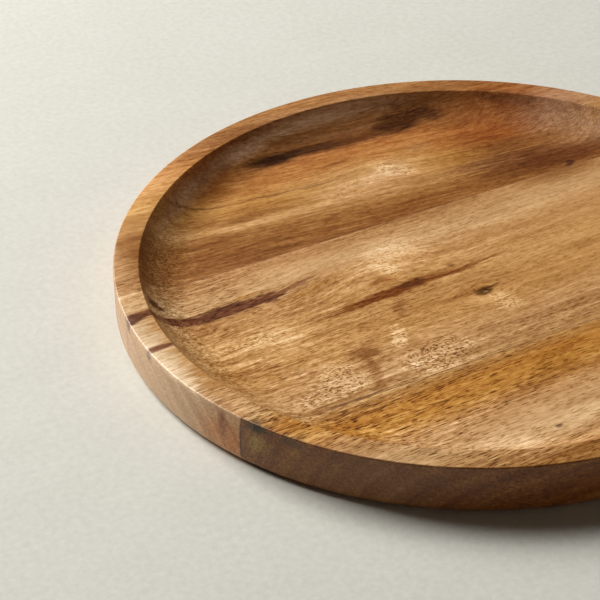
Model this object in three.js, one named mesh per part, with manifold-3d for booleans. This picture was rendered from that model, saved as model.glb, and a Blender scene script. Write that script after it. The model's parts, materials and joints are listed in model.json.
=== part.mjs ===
// Round wooden serving tray: three boards, edge-glued into one blank and turned to a shallow dish.
// Millimetres, +Z up. X runs along the grain, Y across the boards from front to back, and the origin
// is the centre of the flat underside.

import * as THREE from 'three';
import { mergeVertices } from 'three/addons/utils/BufferGeometryUtils.js';
import Module from 'manifold-3d';

// Turned dish
const trayDiameter = 400;
const trayHeight = 30;
const recessDepth = 14.4;
const rimWidth = 14;
const rimOuterRound = 1;
const rimInnerRound = 0.8;
const coveRadius = 33;
const footRound = 6;

// Glue-up: each offset runs from the tray's centre to the middle of that glue line
const frontSeamOffset = 78;
const backSeamOffset = 66;
const glueThickness = 0.3;
const glueClearance = 0.05;

// Facets of the turned surface and of each round in its profile
const turnSteps = 120;
const footSteps = 5;
const edgeSteps = 3;
const coveSteps = 8;

// Colours of the oiled boards and of the glue, with an oil finish's soft sheen
const frontBoardColour = '#b5824a';
const middleBoardColour = '#bd8f58';
const backBoardColour = '#94602f';
const glueColour = '#4f3018';
const oiledRoughness = 0.5;
const glueRoughness = 0.6;

const wasm = await Module();
wasm.setup();

function arc(centreX, centreY, radius, startAngle, endAngle, steps) {
  const clockwise = endAngle < startAngle;
  const curve = new THREE.EllipseCurve(
    centreX, centreY, radius, radius, startAngle, endAngle, clockwise
  );
  return curve.getPoints(steps);
}

// Half section of the dish, from the middle of the underside round the rim to the middle of the floor.
// The cove is an arc tangent to the floor, and the rim's inner edge is a small round tangent to the
// flat of the rim and to the cove.
function dishProfile() {
  const outerRadius = trayDiameter / 2;
  const floorHeight = trayHeight - recessDepth;
  const rimFlatStart = outerRadius - rimWidth;
  const centreDistance = coveRadius + rimInnerRound;
  const centreRise = centreDistance - recessDepth;
  const centreRun = Math.sqrt(centreDistance ** 2 - centreRise ** 2);
  const coveCentreRadius = rimFlatStart - centreRun;
  const edgeEnd = Math.atan2(centreRise, -centreRun);
  const coveStart = Math.atan2(-centreRise, centreRun);
  const quarter = Math.PI / 2;
  return [
    new THREE.Vector2(0, 0),
    ...arc(outerRadius - footRound, footRound, footRound, -quarter, 0, footSteps),
    ...arc(
      outerRadius - rimOuterRound, trayHeight - rimOuterRound, rimOuterRound, 0, quarter, edgeSteps
    ),
    ...arc(rimFlatStart, trayHeight - rimInnerRound, rimInnerRound, quarter, edgeEnd, edgeSteps),
    ...arc(
      coveCentreRadius, floorHeight + coveRadius, coveRadius, coveStart, -quarter, coveSteps
    ).slice(1),
    new THREE.Vector2(0, floorHeight),
  ];
}

// A closed solid from a three.js geometry, with shared corners merged and collapsed triangles left out
function solidFrom(geometry) {
  geometry.deleteAttribute('normal');
  geometry.deleteAttribute('uv');
  const merged = mergeVertices(geometry);
  const corners = merged.index.array;
  const triangles = [];
  for (let i = 0; i < corners.length; i += 3) {
    const [a, b, c] = corners.slice(i, i + 3);
    if (a !== b && b !== c && c !== a) {
      triangles.push(a, b, c);
    }
  }
  return new wasm.Manifold(new wasm.Mesh({
    numProp: 3,
    vertProperties: new Float32Array(merged.attributes.position.array),
    triVerts: new Uint32Array(triangles),
  }));
}

// Everything between two planes across the boards, taller and wider than the dish
function slabFrom(yLow, yHigh) {
  const slab = new THREE.BoxGeometry(2 * trayDiameter, yHigh - yLow, 4 * trayHeight);
  slab.translate(0, (yLow + yHigh) / 2, 0);
  return solidFrom(slab);
}

function turnedDish() {
  const turned = new THREE.LatheGeometry(dishProfile(), turnSteps);
  turned.rotateX(Math.PI / 2);
  return solidFrom(turned);
}

// One piece of the glued-up blank, as the part of the dish between two planes
function blankPiece(name, yLow, yHigh, colour, roughness) {
  const piece = dish.intersect(slabFrom(yLow, yHigh)).getMesh();
  const geometry = new THREE.BufferGeometry();
  geometry.setAttribute('position', new THREE.BufferAttribute(piece.vertProperties, 3));
  geometry.setIndex(new THREE.BufferAttribute(piece.triVerts, 1));
  geometry.computeVertexNormals();
  const material = new THREE.MeshStandardMaterial({ color: colour, roughness, metalness: 0 });
  const mesh = new THREE.Mesh(geometry, material);
  mesh.name = name;
  return mesh;
}

const dish = turnedDish();
const frontSeam = -frontSeamOffset;
const backSeam = backSeamOffset;
const halfGlue = glueThickness / 2;
const boardSetback = halfGlue + glueClearance;
const beyondTray = trayDiameter;

const tray = new THREE.Group();
tray.add(
  blankPiece('front_board', -beyondTray, frontSeam - boardSetback, frontBoardColour, oiledRoughness),
  blankPiece('front_glue_line', frontSeam - halfGlue, frontSeam + halfGlue, glueColour, glueRoughness),
  blankPiece(
    'middle_board', frontSeam + boardSetback, backSeam - boardSetback, middleBoardColour, oiledRoughness
  ),
  blankPiece('back_glue_line', backSeam - halfGlue, backSeam + halfGlue, glueColour, glueRoughness),
  blankPiece('back_board', backSeam + boardSetback, beyondTray, backBoardColour, oiledRoughness),
);

export default tray;
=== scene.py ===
import json
import math

import bpy
from mathutils import Matrix, Vector


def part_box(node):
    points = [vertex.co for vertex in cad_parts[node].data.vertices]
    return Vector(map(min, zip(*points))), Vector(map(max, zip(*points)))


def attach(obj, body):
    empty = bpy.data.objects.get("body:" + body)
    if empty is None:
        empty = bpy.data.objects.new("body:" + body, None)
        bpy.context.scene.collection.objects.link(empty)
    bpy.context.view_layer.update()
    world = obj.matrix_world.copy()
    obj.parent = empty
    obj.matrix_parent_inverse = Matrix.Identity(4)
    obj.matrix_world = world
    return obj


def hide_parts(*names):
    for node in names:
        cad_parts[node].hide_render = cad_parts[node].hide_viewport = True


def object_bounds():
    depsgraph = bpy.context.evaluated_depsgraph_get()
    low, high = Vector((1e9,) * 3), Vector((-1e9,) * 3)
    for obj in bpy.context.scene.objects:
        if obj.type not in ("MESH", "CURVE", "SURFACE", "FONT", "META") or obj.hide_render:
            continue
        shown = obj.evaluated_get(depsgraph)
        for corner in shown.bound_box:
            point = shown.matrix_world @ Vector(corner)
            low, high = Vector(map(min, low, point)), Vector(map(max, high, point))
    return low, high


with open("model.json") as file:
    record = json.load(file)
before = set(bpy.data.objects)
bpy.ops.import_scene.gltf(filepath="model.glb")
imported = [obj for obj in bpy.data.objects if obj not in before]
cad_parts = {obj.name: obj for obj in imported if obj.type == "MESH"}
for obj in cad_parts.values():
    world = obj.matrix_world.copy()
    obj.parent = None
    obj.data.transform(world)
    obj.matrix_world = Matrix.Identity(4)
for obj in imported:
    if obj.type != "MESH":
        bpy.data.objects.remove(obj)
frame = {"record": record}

# A round serving tray of oiled acacia: three edge-glued boards turned to a shallow dish.
# X runs along the grain, Y across the boards from front to back, Z up. Objects are in metres, and the wood's
# figure is laid out in millimetres.

MM = 0.001
cad_low, cad_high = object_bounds()

# The turned section, from the frame and from the sizes that the dish was turned to
OUTER_RADIUS = (cad_high.x - cad_low.x) / 2
HEIGHT = cad_high.z
FLOOR_HEIGHT = next(
    mount["pos_m"][2] for mount in frame["record"]["mounts"] if mount["name"] == "serving_face"
)
RIM_WIDTH = 14 * MM
RIM_OUTER_ROUND = 1 * MM
RIM_INNER_ROUND = 0.8 * MM
COVE_RADIUS = 33 * MM
FOOT_ROUND = 6 * MM
TURN_STEPS = 288
COVE_STEPS = 20
FOOT_STEPS = 8
EDGE_STEPS = 5
MERGE_DISTANCE = 0.001 * MM
SMOOTH_ANGLE = math.radians(40)

# The photograph's view
CAMERA_PLACE = Vector((-576.9, -881.6, 708.3)) * MM
CAMERA_AIM = Vector((-106.7, 0.8, 30.0)) * MM
CAMERA_ROLL = math.radians(-1.0)
CAMERA_LENS = 132
CAMERA_SENSOR = 36
GROUND_SIZE = 12


# Modelling

def draw_line(to_radius, to_height, at):
    """Carries the selected point of the section straight to a new place and returns that place."""
    step = (to_radius - at[0], 0, to_height - at[1])
    bpy.ops.mesh.extrude_vertices_move(TRANSFORM_OT_translate={"value": step})
    return to_radius, to_height


def draw_round(centre, angle, steps, at):
    """Carries the selected point of the section round a centre, anticlockwise with Z up and X right."""
    bpy.ops.mesh.spin(
        steps=steps, angle=angle, center=(centre[0], 0, centre[1]), axis=(0, 1, 0), use_auto_merge=False
    )
    run = at[0] - centre[0]
    rise = at[1] - centre[1]
    return (
        centre[0] + run * math.cos(angle) - rise * math.sin(angle),
        centre[1] + run * math.sin(angle) + rise * math.cos(angle),
    )


def turned_dish(name):
    """The whole dish: half its section is drawn from the underside to the floor and spun round the axis."""
    rim_start = OUTER_RADIUS - RIM_WIDTH
    centre_distance = COVE_RADIUS + RIM_INNER_ROUND
    centre_rise = centre_distance - (HEIGHT - FLOOR_HEIGHT)
    centre_run = math.sqrt(centre_distance ** 2 - centre_rise ** 2)
    cove_centre = (rim_start - centre_run, FLOOR_HEIGHT + COVE_RADIUS)
    cove_angle = math.atan2(centre_run, centre_rise)
    quarter = math.pi / 2

    bpy.ops.object.select_all(action="DESELECT")
    bpy.ops.mesh.primitive_plane_add(size=MM)
    dish = bpy.context.active_object
    dish.name = name
    dish.data.name = name
    bpy.ops.object.mode_set(mode="EDIT")
    bpy.ops.mesh.select_all(action="SELECT")
    bpy.ops.mesh.merge(type="CENTER")
    at = (0, 0)
    at = draw_line(OUTER_RADIUS - FOOT_ROUND, 0, at)
    at = draw_round((at[0], FOOT_ROUND), quarter, FOOT_STEPS, at)
    at = draw_line(OUTER_RADIUS, HEIGHT - RIM_OUTER_ROUND, at)
    at = draw_round((OUTER_RADIUS - RIM_OUTER_ROUND, at[1]), quarter, EDGE_STEPS, at)
    at = draw_line(rim_start, HEIGHT, at)
    at = draw_round((rim_start, HEIGHT - RIM_INNER_ROUND), cove_angle, EDGE_STEPS, at)
    at = draw_round(cove_centre, -cove_angle, COVE_STEPS, at)
    draw_line(0, FLOOR_HEIGHT, at)
    bpy.ops.mesh.select_all(action="SELECT")
    bpy.ops.mesh.spin(steps=TURN_STEPS, angle=2 * math.pi, center=(0, 0, 0), axis=(0, 0, 1))
    bpy.ops.mesh.select_all(action="SELECT")
    bpy.ops.mesh.remove_doubles(threshold=MERGE_DISTANCE)
    bpy.ops.mesh.normals_make_consistent(inside=False)
    bpy.ops.object.mode_set(mode="OBJECT")
    return dish


def sawn_from_dish(name, y_low, y_high):
    """The part of the dish between two planes across the boards, with its cut faces closed."""
    piece = turned_dish(name)
    bpy.ops.object.mode_set(mode="EDIT")
    for y, outward in ((y_low, -1), (y_high, 1)):
        if abs(y) < OUTER_RADIUS - MM:
            bpy.ops.mesh.select_all(action="SELECT")
            bpy.ops.mesh.bisect(
                plane_co=(0, y, 0), plane_no=(0, outward, 0), use_fill=True, clear_outer=True
            )
    bpy.ops.mesh.select_all(action="SELECT")
    bpy.ops.mesh.normals_make_consistent(inside=False)
    bpy.ops.object.mode_set(mode="OBJECT")
    bpy.ops.object.shade_smooth_by_angle(angle=SMOOTH_ANGLE)
    return piece


# Materials

def linear(hex_colour):
    """A linear colour with alpha from an sRGB hex value."""
    channels = [int(hex_colour[i:i + 2], 16) / 255 for i in (1, 3, 5)]
    return (*[c / 12.92 if c <= 0.04045 else ((c + 0.055) / 1.055) ** 2.4 for c in channels], 1)


def add(tree, kind, inputs=(), stops=(), **settings):
    """One node with its settings, its colour stops and its inputs, each a value or a socket to link."""
    made = tree.nodes.new(kind)
    for name, value in settings.items():
        setattr(made, name, value)
    if stops:
        ramp = made.color_ramp.elements
        ramp[0].position, ramp[0].color = stops[0]
        ramp[1].position, ramp[1].color = stops[-1]
        for spot, colour in stops[1:-1]:
            ramp.new(spot).color = colour
    for socket, value in dict(inputs).items():
        if isinstance(value, bpy.types.NodeSocket):
            tree.links.new(value, made.inputs[socket])
        else:
            made.inputs[socket].default_value = value
    return made


# Node sockets of a colour mix, by their place in the node
FACTOR, UNDER, OVER = 0, 6, 7
MIXED = 2

# Real sizes of the wood's figure, in millimetres: how far it runs along the grain and how wide it is
FLOW = (240, 50)
FLOW_SWAY = (0, 9, 9)
WAVES = (50, 14)
WAVE_SWAY = (0, 3, 3)
RAGGED = (18, 5)
RAGGED_SWAY = (14, 4, 0)
FRAY = (14, 1.1)
LINES = (48, 3.2)
PORE_WIDTH = 0.75
DOTS = (2.0, 1.0)
DOT_TURN = math.radians(12)
END_RINGS = (4000, 6)
PORE_DEPTH = 0.05
THROUGH = 10000
GLUE_FILM = (12, 4)
STONE_CLOUDS = (70, 40)
STONE_SPECKLE = (4, 4)

# Along the grain, where the figure starts and stops to grow fainter, and how far inside the outer edge
# the look of the wall starts and is full, in millimetres
BOLD_START, BOLD_STOP = -150, 100
WALL_START, WALL_FULL = 1, 0.2

# Values that noise mostly keeps between, and those at which each mark starts and is full
NOISE_LOW, NOISE_MIDDLE, NOISE_HIGH = 0.3, 0.5, 0.7
DASH_START, DASH_FULL = 0.54, 0.66
DOT_START, DOT_FULL = 0.5, 0.6
RING_LOW, RING_HIGH = 0.35, 0.65
LINE_REACH = 0.09

# Each figure's size, the noise values it runs between, and how much paler and deeper the tint is there.
# Real pores are about 0.2 mm wide, too fine to show, so lines and pores are drawn about four times as wide.
# The figures are clouds, rings round the pith, bands, streaks and flecks.
RINGS = 1
FIGURES = (
    ((90, 26), 0.3, 0.7, -0.16, 0.16),
    ((130, 4.2), 0.34, 0.66, -0.22, 0.24),
    ((110, 9), 0.32, 0.68, -0.22, 0.22),
    ((18, 1.8), 0.36, 0.64, -0.16, 0.18),
    ((4, 2.2), 0.36, 0.64, -0.2, 0.22),
)

# How much deeper, or paler below zero, each mark makes the tint, and what the tint does to a tone
LINE_TINT = 0.5
DOT_TINT = 1.2
END_TINT = 0.5
END_DOT_TINT = 2.4
CURL_TINT = -0.95
TINT_POWER = 0.35
TINT_SHADE = -0.33

# How far dots carry the edge of a curl, the strength at which a curl has only dots, the share of the
# figure that end grain covers, how soft the edge of a broad area is, and the nearness at an oval's edge
DOT_FRAY = 0.2
CURL_FULL = 0.4
END_COVER = 0.62
AREA_SOFT = 0.9
OVAL_EDGE = 0.5


def figure(tree, place, size, seed, detail):
    """Cloudy figure with the given length along the grain and width across it, both in millimetres."""
    length, width = size
    steps = add(tree, "ShaderNodeMapping", {"Vector": place, "Scale": (1 / length, 1 / width, 1 / width)})
    return add(tree, "ShaderNodeTexNoise", {
        "Vector": steps.outputs[0], "W": seed, "Scale": 1, "Detail": detail, "Roughness": 0.6,
    }, noise_dimensions="4D")


def swayed(tree, place, size, sway, seed):
    """Places pushed aside by a slow wave, as grain wanders in a board."""
    wave = figure(tree, place, size, seed, 3).outputs["Color"]
    wave = add(tree, "ShaderNodeSeparateColor", {"Color": wave})
    wave = add(tree, "ShaderNodeCombineXYZ", {axis: wave.outputs[axis] for axis in range(3)})
    push = add(tree, "ShaderNodeVectorMath", {
        0: wave.outputs[0], 1: sway, 2: tuple(-reach / 2 for reach in sway),
    }, operation="MULTIPLY_ADD")
    return add(tree, "ShaderNodeVectorMath", {0: place, 1: push.outputs[0]}, operation="ADD").outputs[0]


def patch(tree, place, centre, half, turn, soft, fray=0):
    """1 inside an oval, fading to 0 over its outer share soft. It goes right through the board unless its
    centre and half sizes say how deep it lies. The ball that gives the distance is twice as large, which
    puts the edge of the oval at a half and leaves room outside it for the fray."""
    oval = add(tree, "ShaderNodeMapping", {
        "Vector": place, "Location": (*centre, 0)[:3], "Rotation": (0, 0, math.radians(turn)),
        "Scale": [size / OVAL_EDGE for size in (*half, THROUGH)[:3]],
    }, vector_type="TEXTURE")
    near = add(tree, "ShaderNodeTexGradient", {"Vector": oval.outputs[0]}, gradient_type="SPHERICAL")
    near = add(tree, "ShaderNodeMath", {
        0: fray, 1: -OVAL_EDGE, 2: near.outputs["Fac"],
    }, operation="MULTIPLY_ADD")
    return add(tree, "ShaderNodeMapRange", {
        "Value": near.outputs[0], "From Min": OVAL_EDGE, "From Max": OVAL_EDGE + soft * OVAL_EDGE,
        "To Min": 0, "To Max": 1,
    }, interpolation_type="SMOOTHSTEP").outputs[0]


def with_stains_and_painted_light(tree, colour, place, fray, stains):
    """The colour with streaks, stains, knots and some painted light, shade and sheen laid over it."""
    for centre, half, turn, soft, strength, tone in stains:
        spot = patch(tree, place, centre, half, turn, soft, fray)
        spot = add(tree, "ShaderNodeMath", {0: spot, 1: strength}, operation="MULTIPLY").outputs[0]
        colour = add(tree, "ShaderNodeMix", {FACTOR: spot, UNDER: colour, OVER: linear(tone)},
                     data_type="RGBA").outputs[MIXED]
    return colour


def oiled_acacia(name, board):
    """Acacia, planed, glued, turned, sanded and oiled. Long pores and rings run along the grain, so the
    flat faces show dashes and stripes while the cove and the ends show dots; the oil gives a satin sheen.
    Where the tint lies deeper the tone is both richer and darker."""
    material = bpy.data.materials.new(name)
    material.use_nodes = True
    tree = material.node_tree
    shader = tree.nodes["Principled BSDF"]

    # The figures and marks add a number each to the board's seed, so that they don't follow one another
    seed = board["seed"]
    local = add(tree, "ShaderNodeTexCoord").outputs["Object"]
    place = add(tree, "ShaderNodeMapping", {"Vector": local, "Scale": (1 / MM,) * 3}).outputs[0]
    ragged = swayed(tree, place, RAGGED, RAGGED_SWAY, seed)

    # The grain's flow, with swerves round knots and curls
    turned = add(tree, "ShaderNodeMapping", {
        "Vector": place, "Rotation": (0, 0, math.radians(-board["slant"])),
    }).outputs[0]
    flow = swayed(tree, turned, FLOW, FLOW_SWAY, seed)
    flow = swayed(tree, flow, WAVES, WAVE_SWAY, seed)
    for centre, half, turn, push in board["swerves"]:
        push = add(tree, "ShaderNodeVectorMath", {
            0: (0, push, 0), "Scale": patch(tree, place, centre, half, turn, 1),
        }, operation="SCALE")
        flow = add(tree, "ShaderNodeVectorMath", {0: flow, 1: push.outputs[0]}, operation="ADD").outputs[0]
    axes = add(tree, "ShaderNodeSeparateXYZ", {0: flow})

    # Rings round the pith, so that the ends of the board show arcs
    pith_y, pith_z = board["pith"]
    from_pith = add(tree, "ShaderNodeMapping", {
        "Vector": flow, "Location": (0, -pith_y, -pith_z), "Scale": (0, 1, 1),
    })
    ring = add(tree, "ShaderNodeVectorMath", {0: from_pith.outputs[0]}, operation="LENGTH")
    grain = add(tree, "ShaderNodeCombineXYZ", {
        "X": axes.outputs["X"], "Y": ring.outputs["Value"],
    }).outputs[0]

    # Tones across the board
    low, high = board["tones"][0][0], board["tones"][-1][0]
    across = add(tree, "ShaderNodeMapRange", {
        "Value": axes.outputs["Y"], "From Min": low, "From Max": high, "To Min": 0, "To Max": 1,
    }).outputs[0]
    colour = add(tree, "ShaderNodeValToRGB", {"Fac": across}, stops=[
        ((y - low) / (high - low), linear(tone)) for y, tone in board["tones"]
    ]).outputs["Color"]

    # Streaks, stains and knots, frayed along the fibres, with some painted light, shade and sheen in coves
    # and on a rim
    fray = add(tree, "ShaderNodeMapRange", {
        "Value": figure(tree, flow, FRAY, seed + 9, 2).outputs["Fac"],
        "From Min": NOISE_LOW, "From Max": NOISE_HIGH, "To Min": -board["fray"], "To Max": board["fray"],
    }).outputs[0]
    colour = with_stains_and_painted_light(tree, colour, ragged, fray, board["stains"])

    # The outer wall and the round of its foot, where end grain shows. The wall's tone is painted shade on
    # the front board and painted sheen on the middle board.
    tone, strength = board["wall"]
    outward = add(tree, "ShaderNodeVectorMath", {0: place, 1: (1, 1, 0)}, operation="MULTIPLY").outputs[0]
    radius = add(tree, "ShaderNodeVectorMath", {0: outward}, operation="LENGTH").outputs["Value"]
    height = add(tree, "ShaderNodeSeparateXYZ", {0: place}).outputs["Z"]
    tuck = add(tree, "ShaderNodeMapRange", {
        "Value": height, "From Min": 0, "From Max": FOOT_ROUND / MM, "To Min": FOOT_ROUND / MM, "To Max": 0,
    }).outputs[0]
    radius = add(tree, "ShaderNodeMath", {0: radius, 1: tuck}, operation="ADD").outputs[0]
    wall = add(tree, "ShaderNodeMapRange", {
        "Value": radius, "From Min": OUTER_RADIUS / MM - WALL_START,
        "From Max": OUTER_RADIUS / MM - WALL_FULL, "To Min": 0, "To Max": 1,
    }, interpolation_type="SMOOTHSTEP").outputs[0]
    cover = add(tree, "ShaderNodeMath", {0: wall, 1: strength}, operation="MULTIPLY").outputs[0]
    colour = add(tree, "ShaderNodeMix", {FACTOR: cover, UNDER: colour, OVER: linear(tone)},
                 data_type="RGBA").outputs[MIXED]
    colour = with_stains_and_painted_light(tree, colour, place, fray, board["wall_stains"])

    # Clouds, rings, bands, streaks and flecks
    tint = board["depth"]
    for number, (size, thin, full, pale, dark) in enumerate(FIGURES):
        along = grain if number == RINGS else flow
        share = add(tree, "ShaderNodeMapRange", {
            "Value": figure(tree, along, size, seed + number, 2).outputs["Fac"],
            "From Min": thin, "From Max": full, "To Min": pale, "To Max": dark,
        }).outputs[0]
        tint = add(tree, "ShaderNodeMath", {0: tint, 1: share}, operation="ADD").outputs[0]

    # Pale curls where the grain turns up to the face and its pores show as dots
    turned = add(tree, "ShaderNodeMapping", {"Vector": place, "Rotation": (0, 0, DOT_TURN)}).outputs[0]
    dot = figure(tree, turned, DOTS, seed + 6, 1).outputs["Fac"]
    frayed = add(tree, "ShaderNodeMapRange", {
        "Value": dot, "From Min": NOISE_LOW, "From Max": NOISE_HIGH,
        "To Min": -DOT_FRAY, "To Max": DOT_FRAY,
    }).outputs[0]
    curl = 0
    for centre, half, turn, soft, strength in board["curls"]:
        spot = patch(tree, ragged, centre, half, turn, soft, frayed)
        spot = add(tree, "ShaderNodeMath", {0: spot, 1: strength}, operation="MULTIPLY").outputs[0]
        curl = add(tree, "ShaderNodeMath", {0: curl, 1: spot}, operation="MAXIMUM").outputs[0]

    # Thin wandering lines of vessels
    wander = figure(tree, flow, LINES, seed + 7, 2).outputs["Fac"]
    aside = add(tree, "ShaderNodeMath", {0: wander, 1: NOISE_MIDDLE}, operation="SUBTRACT").outputs[0]
    aside = add(tree, "ShaderNodeMath", {0: aside}, operation="ABSOLUTE").outputs[0]
    line = add(tree, "ShaderNodeMapRange", {
        "Value": aside, "From Min": 0, "From Max": LINE_REACH, "To Min": LINE_TINT, "To Max": 0,
    }).outputs[0]
    tint = add(tree, "ShaderNodeMath", {0: tint, 1: line}, operation="ADD").outputs[0]

    # Pores: dashes along the grain, dots in the curls
    length, deep = board["pores"]
    dash = figure(tree, flow, (length, PORE_WIDTH), seed + 5, 1).outputs["Fac"]
    dashes = add(tree, "ShaderNodeMapRange", {
        "Value": dash, "From Min": DASH_START, "From Max": DASH_FULL, "To Min": 0, "To Max": 1,
    }).outputs[0]
    dots = add(tree, "ShaderNodeMapRange", {
        "Value": dot, "From Min": DOT_START, "From Max": DOT_FULL, "To Min": 0, "To Max": 1,
    }).outputs[0]
    curled = add(tree, "ShaderNodeMapRange", {
        "Value": curl, "From Min": 0, "From Max": CURL_FULL, "To Min": 0, "To Max": 1,
    }).outputs[0]
    pore = add(tree, "ShaderNodeMix", {0: curled, 2: dashes, 3: dots}).outputs[0]
    deep = add(tree, "ShaderNodeMix", {0: curled, 2: deep, 3: DOT_TINT}).outputs[0]
    tint = add(tree, "ShaderNodeMath", {0: pore, 1: deep, 2: tint}, operation="MULTIPLY_ADD").outputs[0]

    # The figure grows fainter along the board and is calmer or bolder in some areas
    left, right = board["bold"]
    bold = add(tree, "ShaderNodeMapRange", {
        "Value": axes.outputs["X"], "From Min": BOLD_START, "From Max": BOLD_STOP,
        "To Min": left, "To Max": right,
    }).outputs[0]
    for centre, half, turn, share in board["calm"]:
        area = patch(tree, place, centre, half, turn, AREA_SOFT)
        calm = add(tree, "ShaderNodeMath", {0: area, 1: -share, 2: 1}, operation="MULTIPLY_ADD").outputs[0]
        bold = add(tree, "ShaderNodeMath", {0: bold, 1: calm}, operation="MULTIPLY").outputs[0]
    tint = add(tree, "ShaderNodeMath", {0: tint, 1: bold}, operation="MULTIPLY").outputs[0]
    tint = add(tree, "ShaderNodeMath", {
        0: curl, 1: CURL_TINT, 2: tint,
    }, operation="MULTIPLY_ADD").outputs[0]

    # End grain on the wall is calmer, with broad rings and dots
    end = add(tree, "ShaderNodeMapRange", {
        "Value": figure(tree, grain, END_RINGS, seed + 8, 2).outputs["Fac"],
        "From Min": RING_LOW, "From Max": RING_HIGH, "To Min": -END_TINT, "To Max": END_TINT,
    }).outputs[0]
    end = add(tree, "ShaderNodeMath", {
        0: frayed, 1: END_DOT_TINT, 2: end,
    }, operation="MULTIPLY_ADD").outputs[0]
    calm = add(tree, "ShaderNodeMath", {0: wall, 1: END_COVER}, operation="MULTIPLY").outputs[0]
    tint = add(tree, "ShaderNodeMix", {0: calm, 2: tint, 3: end}).outputs[0]

    # Broad areas that are deeper or paler than their board. Some are painted light that lifts a shaded cove,
    # and some are painted sheen on a rim.
    for centre, half, turn, amount in board["tints"]:
        area = patch(tree, ragged, centre, half, turn, AREA_SOFT, fray)
        tint = add(tree, "ShaderNodeMath", {
            0: area, 1: amount, 2: tint,
        }, operation="MULTIPLY_ADD").outputs[0]
    power = add(tree, "ShaderNodeMath", {0: tint, 1: TINT_POWER, 2: 1}, operation="MULTIPLY_ADD").outputs[0]
    shade = add(tree, "ShaderNodeMath", {0: tint, 1: TINT_SHADE, 2: 1}, operation="MULTIPLY_ADD").outputs[0]
    colour = add(tree, "ShaderNodeGamma", {"Color": colour, "Gamma": power}).outputs[0]
    colour = add(tree, "ShaderNodeVectorMath", {0: colour, "Scale": shade}, operation="SCALE").outputs[0]

    dent = add(tree, "ShaderNodeBump", {
        "Height": pore, "Strength": 1, "Distance": PORE_DEPTH * MM,
    }, invert=True)
    tree.links.new(colour, shader.inputs["Base Color"])
    tree.links.new(dent.outputs[0], shader.inputs["Normal"])
    shader.inputs["Roughness"].default_value = 0.36
    shader.inputs["Specular IOR Level"].default_value = 0.45
    shader.inputs["IOR"].default_value = 1.5
    return material


# Tones of the streaks, the knots and the painted sheen on the pale left end of the middle board
STREAK_TONE = "#7c4a2d"
RED_STREAK_TONE = "#91541f"
STREAK_CORE_TONE = "#6a3c1a"
STREAK_EDGE_TONE = "#a06a3a"
KNOT_TONE = "#6b4414"
END_SHEEN_TONE = "#dfbf96"

# What sets each board apart, in millimetres and degrees. An area is a centre, half sizes and a turn, and it
# goes right through the board unless a third number in the first two says how deep it lies.
# seed: where the board's noise is read. bold: strength of the figure at the left and the right end.
# fray: how far fibres carry the edge of a stain. calm: areas and the share of the figure that they lose,
# or gain below zero. depth: tint all over. pores: their length and tint. wall: the outer wall's tone and
# its strength; the tone is painted shade on the front board and painted sheen on the middle board.
# slant: turn of the grain. pith: its place across the board and its height. tones: places across the
# board and their colours. swerves: areas and how far the grain is pushed aside there. curls: areas, a soft
# share and a strength. tints: areas and how much deeper, or paler below zero, they are;
# some are painted light that lifts the shaded back cove and painted sheen on the middle board's left rim.
# stains: areas, a soft share, a strength and a tone; some are painted light and painted
# shade in the back coves, and painted sheen on the middle board's left end and in the back's right cove.
# wall_stains: the same, over the wall's tone.
FRONT_BOARD = {
    "seed": 11.0,
    "bold": (1.6, 0.4),
    "fray": 0.35,
    "calm": [
        ((-40, -136), (70, 24), 0, 0.5),
        ((-135, -147), (85, 20), -43, 0.5),
        ((0, -196), (90, 22), 0, 0.6),
    ],
    "depth": -0.12,
    "pores": (6, 1.45),
    # Painted shade: the front wall's dark tone stands for the shade on the wall that faces away from the
    # light.
    "wall": ("#7c4612", 0.85),
    "slant": 1.5,
    "pith": (-260, -60),
    "tones": [
        (-200, "#9d6831"), (-184, "#aa753b"), (-162, "#d0a06a"), (-146, "#dfb684"), (-121, "#cf9e68"),
        (-113, "#bd8549"), (-103, "#d09648"), (-90, "#c4863a"), (-77, "#c6955a"),
    ],
    "swerves": [],
    "curls": [],
    "tints": [
        ((-92, -114), (44, 18), 0, -0.55),
        ((-66, -150, 16), (46, 10, 8), -30, -0.4),
        ((-114, -116, 16), (28, 9, 8), -46, -0.45),
        ((-98, -162, 31), (62, 14, 4), -30, 0.25),
        ((-166, -112, 14), (24, 30, 18), 0, -0.3),
        ((-120, -160, 14), (40, 26, 18), -36, 0.25),
        ((-92, -83), (40, 6), 0, -0.25),
        ((0, -92), (42, 20), 0, 0.3),
        ((-5, -116), (34, 5), 6, -0.4),
        ((-8, -106), (26, 4.5), 3, 0.5),
        ((-50, -114), (24, 5), 0, -0.4),
        ((-50, -134), (44, 18), 0, -0.25),
        ((-20, -146), (60, 9), 4, -0.4),
    ],
    "stains": [
        ((-35, -148), (4.5, 1.8), 10, 0.6, 0.9, "#5c3a20"),
    ],
    "wall_stains": [
        ((-180, -88, 18), (8, 10, 9), 0, 0.7, 0.8, "#a2803c"),
        ((-180, -88, 28), (8, 12, 4.5), 0, 0.8, 0.95, "#3c2a1a"),
        ((-168, -106, 27), (10, 10, 5), 0, 0.8, 0.6, "#4a3626"),
    ],
}
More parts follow.
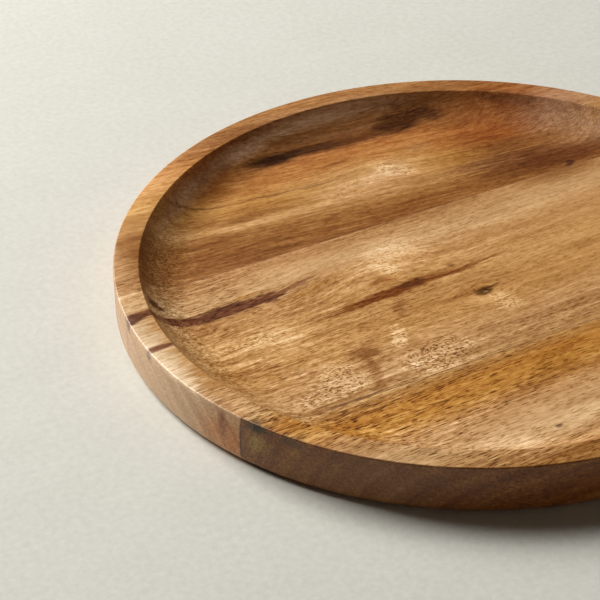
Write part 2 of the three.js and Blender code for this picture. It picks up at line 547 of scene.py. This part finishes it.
MIDDLE_BOARD = {
    "seed": 3.0,
    "bold": (1.45, 0.5),
    "fray": 0.25,
    "calm": [
        ((-78, 50), (64, 22), 0, 0.6),
        ((-25, 36), (30, 18), 0, 0.3),
        ((-192, -8), (28, 98), 0, 0.6),
        ((30, -64), (80, 16), 0, -0.5),
        ((-56, -66), (34, 18), 0, -0.5),
    ],
    "depth": -0.12,
    "pores": (4.5, 0.85),
    # Painted sheen: the middle wall's pale, pinkish tone stands for the sheen on the left wall.
    "wall": ("#c89f78", 0.7),
    "slant": 1.5,
    "pith": (90, -110),
    "tones": [
        (-80, "#c4955f"), (-56, "#cb9b66"), (-32, "#cc995c"), (-22, "#c59054"), (0, "#cf9e62"),
        (24, "#ca975e"), (42, "#d2a673"), (60, "#c59460"), (68, "#bd8a57"),
    ],
    "swerves": [
        ((-2, -16), (26, 10), 0, -5),
        ((-2, -33), (26, 10), 0, 5),
        ((-48, 28), (64, 34), 0, -9),
    ],
    "curls": [
        ((-25, 38), (26, 14), -8, 0.35, 0.3),
        ((-38, 24), (8, 15), 12, 0.4, 0.35),
        ((-14, 29), (10, 13), 8, 0.5, 0.3),
        ((-26, 30), (13, 9), 0, 0.5, 0.3),
        ((-118, -63), (24, 14), 0, 0.5, 0.52),
        ((-113, -52), (13, 14), -20, 0.6, 0.58),
        ((-136, -66), (14, 10), 0, 0.7, 0.55),
        ((-56, -64), (30, 17), 5, 0.5, 0.65),
        ((-168, 15, 21), (26, 85, 8.5), 0, 0.5, 0.35),
        ((-67, -39), (6, 15), -28, 0.6, 0.9),
        ((3, -37), (10, 13), 0, 0.7, 0.7),
        ((-140, -4), (48, 7), 0, 0.9, 0.4),
    ],
    "tints": [
        ((-150, -68, 16), (18, 20, 8), 20, -0.45),
        # Painted sheen: a pale tint on the left rim.
        ((-180, -66, 31), (14, 18, 4), 0, -0.8),
        ((-130, -2), (26, 9), 0, -0.35),
        ((-130, 19), (24, 5), 0, -0.3),
        ((-90, 14), (22, 5), 0, 0.4),
        ((-32, 25), (42, 9), 0, -0.3),
        ((48, 38), (44, 7), 0, -0.25),
        ((-50, -67), (24, 5), 0, 0.55),
        ((-108, -34), (44, 5), 0, -0.25),
        ((70, -10), (26, 6), 0, 0.3),
        ((-132, -17), (38, 20), 0, -0.65),
        ((-132, -44), (32, 16), 0, -0.3),
        ((-128, 22), (34, 5), 0, -0.4),
        ((-130, 37), (36, 4), 0, 0.6),
        ((-90, 52), (40, 12), 0, -0.45),
        ((-52, 31), (26, 7), -8, -0.6),
        ((-27, 35), (28, 17), -8, -0.55),
        ((-39, 20), (8, 12), 12, -0.5),
        ((-20, 46), (60, 18), 0, -0.22),
        ((-92, 0), (28, 12), 0, -0.3),
        # Painted sheen: the next two tints make the left edge of the rim paler.
        ((-200, -30, 31), (16, 62, 6), 0, -0.85),
        ((-186, 54, 31), (18, 16, 6), 0, -0.5),
        ((10, 63), (70, 5), 0, 0.3),
        ((-172, 45, 23), (14, 34, 9), -15, -0.35),
        ((0, 12), (90, 14), 0, -0.2),
        ((-120, -9), (40, 6), 0, -0.3),
        ((-52, -9), (26, 5), 0, -0.35),
        ((-50, -43), (70, 12), 0, -0.25),
        ((-70, 60), (50, 9), 0, 0.25),
        ((-10, -73), (30, 6), 0, 0.35),
        ((-30, -21), (100, 10), 0, 0.3),
        ((-30, -34), (100, 7), 0, -0.25),
        ((30, -58), (34, 9), 0, 0.45),
        ((-80, -75), (52, 5), 0, -0.3),
        ((110, 63), (44, 12), 0, 0.9),
    ],
    "stains": [
        # Painted sheen: a pale tone over the left end of the rim and the wall.
        ((-206, -12), (24, 92), 0, 0.5, 0.9, END_SHEEN_TONE),
        ((-122, 38), (12, 3.5), 0, 0.9, 0.6, "#d29a4a"),
        ((-84, 27), (30, 2.4), 9, 0.9, 0.4, "#cf9a4a"),
        ((-70, 26), (10, 1.4), 9, 0.8, 0.6, "#8f5c28"),
        ((-144, 29.5), (56, 7), 0, 0.6, 0.8, STREAK_EDGE_TONE),
        ((-170, 30.5), (36, 4.2), -3, 0.35, 1.0, STREAK_TONE),
        ((-136, 30.3), (40, 5.4), 1, 0.35, 1.0, STREAK_TONE),
        ((-114, 30.5), (15, 5.4), 5, 0.3, 1.0, STREAK_TONE),
        ((-140, 34.5), (40, 1.3), 1, 0.6, 0.4, STREAK_CORE_TONE),
        ((-142, 26), (40, 1.3), 0, 0.6, 0.4, STREAK_CORE_TONE),
        ((-196, 28, 31), (16, 3.8, 9), 12, 0.4, 1.0, STREAK_CORE_TONE),
        ((-93, 34), (22, 2.6), 10, 0.5, 0.9, "#94603a"),
        ((-174, 45), (5, 6.5), 30, 0.6, 1.0, "#55290c"),
        ((-196, -1.7, 31), (14, 3.4, 9), 2, 0.4, 1.0, STREAK_TONE),
        ((-178, -1.7, 24), (9, 8, 12), 2, 0.9, 0.7, STREAK_EDGE_TONE),
        ((-42, 13), (18, 6), 10, 0.9, 0.7, "#b5783c"),
        ((-90, -3), (26, 4), 4, 0.9, 0.7, "#b07a42"),
        ((-45, 1), (60, 5.6), 4, 0.6, 0.85, "#ac7138"),
        ((-66, -1), (30, 3.4), 2, 0.5, 0.95, RED_STREAK_TONE),
        ((-38, 1.4), (28, 6.0), 4, 0.5, 0.95, RED_STREAK_TONE),
        ((-10, 1.4), (20, 2.8), -2, 0.5, 0.9, RED_STREAK_TONE),
        ((-34, 2.4), (12, 4.6), 8, 0.6, 0.6, STREAK_CORE_TONE),
        ((10, 3), (26, 1.3), 3, 0.7, 0.8, RED_STREAK_TONE),
        ((-5, 7.6), (4.5, 2.6), 10, 0.6, 0.8, "#86551f"),
        ((-2.2, -24.6), (7.4, 5.4), 8, 0.6, 1.0, KNOT_TONE),
        ((5, -22), (6, 1.8), 12, 0.7, 0.8, KNOT_TONE),
        ((-2.5, -25), (2.6, 1.8), 20, 0.8, 0.8, "#a88a5c"),
        ((-95, -62), (5, 18), -14, 0.5, 1.0, "#aa7644"),
        ((-90, -43), (13, 6.5), -24, 0.6, 0.85, "#966230"),
        ((-112, -77), (26, 1.1), 1, 0.5, 0.9, "#7a4f2c"),
        ((-52, -15), (6, 13), -28, 0.8, 0.85, "#a26c38"),
        ((-84, -36), (14, 4), 30, 0.9, 0.6, "#a8723e"),
        ((-127, -43), (14, 8), 0, 0.9, 0.4, "#a87044"),
    ],
    "wall_stains": [
        ((-186, -66, 12), (16, 36, 20), 0, 0.9, 0.85, "#c87f3e"),
        ((-187, -66, 20), (6, 4.5, 14), 0, 0.7, 0.8, "#94582f"),
        ((-184, -78, 14), (30, 1.6, 17), 0, 0.4, 0.85, "#4a2f1a"),
        ((-198, 28, 28), (6, 4, 5), 0, 0.7, 0.7, "#7a584a"),
        ((-200, -2, 27), (6, 4, 5), 0, 0.7, 0.7, "#8a6a60"),
    ],
}
BACK_BOARD = {
    "seed": 7.0,
    "bold": (0.9, 0.8),
    "fray": 0.15,
    "calm": [((-166, 106), (60, 18), 57, 0.3)],
    "depth": -0.15,
    "pores": (5, 0.6),
    "wall": ("#b07d4f", 0.6),
    "slant": -5.0,
    "pith": (220, -120),
    "tones": [
        (60, "#9d6836"), (74, "#99632f"), (88, "#a9743d"), (100, "#cb985e"), (108, "#c38e50"),
        (116, "#d09c58"), (130, "#c38849"), (150, "#bd7d42"), (170, "#a16b3b"), (186, "#b07b47"),
        (205, "#b8824d"),
    ],
    "swerves": [((10, 122), (44, 26), 0, -7)],
    "curls": [
        ((18, 120), (9, 16), 8, 0.8, 0.65),
        ((-4, 112), (30, 10), -6, 0.9, 0.35),
        ((28, 112), (9, 12), -20, 0.9, 0.5),
        ((-22, 106), (20, 8), -6, 0.9, 0.3),
        ((-148, 90, 20.5), (30, 50, 8.5), -35, 0.5, 0.35),
    ],
    "tints": [
        ((-75, 118), (60, 16), -6, 0.6),
        ((-20, 124), (50, 8), -6, 0.35),
        ((-10, 145), (28, 8), 0, 0.3),
        ((-60, 103), (84, 6), -5, -0.6),
        ((-90, 110), (26, 4.5), -5, 0.7),
        ((-88, 102), (26, 5), -5, -0.35),
        ((-90, 118), (22, 4), -5, -0.25),
        ((-86, 148), (28, 13), 32, 0.55),
        ((30, 94), (22, 6), 0, 0.35),
        ((12, 74), (54, 10), 0, 0.25),
        ((30, 126), (22, 5), 0, 0.3),
        ((5, 117), (42, 9), 0, -0.3),
        ((-40, 78), (40, 12), 0, -0.2),
        ((-122, 126), (30, 20), -35, 0.4),
        ((-124, 96), (30, 18), 0, 0.25),
        ((-125, 150, 31), (64, 56, 6), 0, -0.35),
        ((-140, 100, 24), (24, 60, 9), -35, -0.35),
        ((-112, 162, 31), (70, 24, 4), 37, -0.55),
        ((-176, 82, 31), (22, 24, 6), 0, -0.2),
        ((112, 91), (24, 8), 0, 0.35),
        ((51, 99), (20, 9), 0, 0.25),
        ((10, 108), (50, 10), 0, -0.2),
        ((80, 112), (44, 34), 0, 0.5),
        ((85, 80), (90, 18), 0, 0.3),
        ((-92, 87), (30, 6), 0, 0.3),
        # Painted light: the next two tints lift the upper back cove, which lies in the rim's shade.
        ((2, 178, 24), (64, 14, 6), -4, -0.8),
        ((-48, 172, 23), (36, 12, 6), 16, -0.65),
    ],
    "stains": [
        ((-190, 90), (24, 36), 0, 0.6, 0.8, "#c99a66"),
        # Painted light: the next two pale tones lift the shaded back-left cove.
        ((-112, 150, 22.5), (64, 28, 6.5), 38, 0.8, 0.85, "#cba27c"),
        ((-62, 172, 23), (42, 14, 6), 22, 0.8, 0.85, "#cba27c"),
        ((105, 128), (56, 44), -12, 0.8, 0.9, "#a8642d"),
        ((118, 80), (80, 21), -6, 0.8, 0.9, "#7c4722"),
        # Painted sheen over the wood's brown: a pale greyish-pink tone in the right cove.
        ((146, 116), (42, 40), 0, 0.9, 0.8, "#b98a68"),
        ((112, 104), (54, 15), -4, 0.8, 0.8, "#8c582b"),
        ((96, 93), (70, 9), -3, 0.8, 0.85, "#85512a"),
        ((47, 132), (14, 9), -10, 0.9, 0.5, "#a9784a"),
        # Painted light: a pale tone that lifts the shaded upper back cove.
        ((10, 180, 26), (100, 16, 6), -3, 0.8, 0.8, "#cfa27c"),
        ((10, 168, 17.5), (56, 6, 3.5), -4, 0.8, 0.7, "#8a5a34"),
        ((12, 160), (62, 7), -4, 0.7, 0.9, "#70401a"),
        ((-10, 162), (30, 6), -2, 0.9, 0.8, "#4f2a10"),
        ((-37, 161.5), (30, 7), 2, 0.7, 1.0, "#43210a"),
        ((49, 162), (20, 9.5), -10, 0.5, 0.95, "#582e0c"),
        ((68, 160), (18, 7), -22, 0.7, 0.75, "#582e0c"),
        ((62, 170, 23), (26, 6, 6), -18, 0.8, 0.35, "#6a3c14"),
        ((80, 144), (22, 8), -22, 0.9, 0.6, "#955823"),
        ((-5, 141), (16, 3.5), 0, 0.8, 0.8, "#9c5f2c"),
        ((-106, 133), (24, 1.8), -11, 0.9, 0.65, "#7a4a20"),
        ((-52, 126.5), (56, 1.8), -5.5, 0.9, 0.65, "#7a4a20"),
        ((119, 69), (5, 4), 40, 0.6, 0.9, "#5a2f1e"),
        # Painted shade: a dark tone in the upper right cove under the rim.
        ((120, 141, 27), (34, 8, 6), -40, 0.9, 0.5, "#6a4126"),
        ((22, 118), (24, 13), 0, 0.9, 0.35, "#e0b98c"),
        ((0, 117), (64, 26), -4, 0.9, 0.25, "#cfa985"),
    ],
    "wall_stains": [],
}


def cured_glue():
    """Cured wood glue, squeezed thin between two boards and cut flush: a thin, dark, dull line."""
    material = bpy.data.materials.new("cured_wood_glue")
    material.use_nodes = True
    tree = material.node_tree
    shader = tree.nodes["Principled BSDF"]
    local = add(tree, "ShaderNodeTexCoord").outputs["Object"]
    place = add(tree, "ShaderNodeMapping", {"Vector": local, "Scale": (1 / MM,) * 3}).outputs[0]
    film = figure(tree, place, GLUE_FILM, 0, 2)
    colour = add(tree, "ShaderNodeMix", {
        FACTOR: film.outputs["Fac"], UNDER: linear("#6e4526"), OVER: linear("#94683e"),
    }, data_type="RGBA")
    tree.links.new(colour.outputs[MIXED], shader.inputs["Base Color"])
    shader.inputs["Roughness"].default_value = 0.6
    return material


# How much darker or paler the stone is in a speckle
SPECKLE_SHADE = 0.07


def honed_ground():
    """Pale stone, honed and dull, with faint clouds and a fine speckle."""
    material = bpy.data.materials.new("pale_honed_stone")
    material.use_nodes = True
    tree = material.node_tree
    shader = tree.nodes["Principled BSDF"]
    local = add(tree, "ShaderNodeTexCoord").outputs["Object"]
    place = add(tree, "ShaderNodeMapping", {"Vector": local, "Scale": (1 / MM,) * 3}).outputs[0]
    cloud = figure(tree, place, STONE_CLOUDS, 0, 4)
    colour = add(tree, "ShaderNodeMix", {
        FACTOR: cloud.outputs["Fac"], UNDER: linear("#cfcfc6"), OVER: linear("#d9d9d1"),
    }, data_type="RGBA").outputs[MIXED]
    speckle = figure(tree, place, STONE_SPECKLE, 1, 4)
    shade = add(tree, "ShaderNodeMapRange", {
        "Value": speckle.outputs["Fac"], "From Min": NOISE_LOW, "From Max": NOISE_HIGH,
        "To Min": 1 - SPECKLE_SHADE, "To Max": 1 + SPECKLE_SHADE,
    }).outputs[0]
    colour = add(tree, "ShaderNodeVectorMath", {0: colour, "Scale": shade}, operation="SCALE").outputs[0]
    tree.links.new(colour, shader.inputs["Base Color"])
    shader.inputs["Roughness"].default_value = 0.7
    return material


# Pieces

glue = cured_glue()
PIECES = {
    "front_board": ("front_board_wood", oiled_acacia("front_oiled_acacia", FRONT_BOARD)),
    "middle_board": ("middle_board_wood", oiled_acacia("middle_oiled_acacia", MIDDLE_BOARD)),
    "back_board": ("back_board_wood", oiled_acacia("back_oiled_acacia", BACK_BOARD)),
    "front_glue_line": ("wood_glue", glue),
    "back_glue_line": ("wood_glue", glue),
}
for node_name, (slot, material) in PIECES.items():
    node_low, node_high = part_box(node_name)
    piece = sawn_from_dish("turned_" + node_name, node_low.y, node_high.y)
    piece.data.materials.append(material)
    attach(piece, "root")
    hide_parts(node_name)

# Ground
bpy.ops.object.select_all(action="DESELECT")
bpy.ops.mesh.primitive_plane_add(size=GROUND_SIZE)
ground = bpy.context.active_object
ground.name = "ground"
ground.data.materials.append(honed_ground())

# Camera
camera = bpy.data.objects.new("photo_view", bpy.data.cameras.new("photo_view"))
bpy.context.scene.collection.objects.link(camera)
camera.data.lens = CAMERA_LENS
camera.data.sensor_width = CAMERA_SENSOR
camera.data.clip_start = 10 * MM
aim = (CAMERA_AIM - CAMERA_PLACE).to_track_quat("-Z", "Y").to_matrix().to_4x4()
camera.matrix_world = Matrix.Translation(CAMERA_PLACE) @ aim @ Matrix.Rotation(CAMERA_ROLL, 4, "Z")
bpy.context.scene.camera = camera


# Light

def softbox(name, bearing, elevation, distance, size, watts, hex_colour):
    """An area light aimed at the tray. The bearing turns from behind the tray towards the view's left."""
    heading = CAMERA_AIM - CAMERA_PLACE
    turn = math.atan2(heading.y, heading.x) + math.radians(bearing)
    rise = math.radians(elevation)
    place = distance * Vector(
        (math.cos(rise) * math.cos(turn), math.cos(rise) * math.sin(turn), math.sin(rise))
    )
    lamp = bpy.data.objects.new(name, bpy.data.lights.new(name, "AREA"))
    bpy.context.scene.collection.objects.link(lamp)
    lamp.data.shape = "SQUARE"
    lamp.data.size = size
    lamp.data.energy = watts
    lamp.data.color = linear(hex_colour)[:3]
    lamp.matrix_world = Matrix.Translation(place) @ (-place).to_track_quat("-Z", "Y").to_matrix().to_4x4()


softbox("key_window", bearing=54, elevation=37, distance=3.6, size=1.9, watts=210, hex_colour="#fffdfa")
softbox("low_fill", bearing=235, elevation=4, distance=3.6, size=0.5, watts=14, hex_colour="#fff0e2")

world = bpy.data.worlds.new("soft_studio")
world.use_nodes = True
world.node_tree.nodes["Background"].inputs["Color"].default_value = linear("#ffe8cc")
world.node_tree.nodes["Background"].inputs["Strength"].default_value = 0.048
bpy.context.scene.world = world
bpy.context.scene.view_settings.view_transform = "Standard"
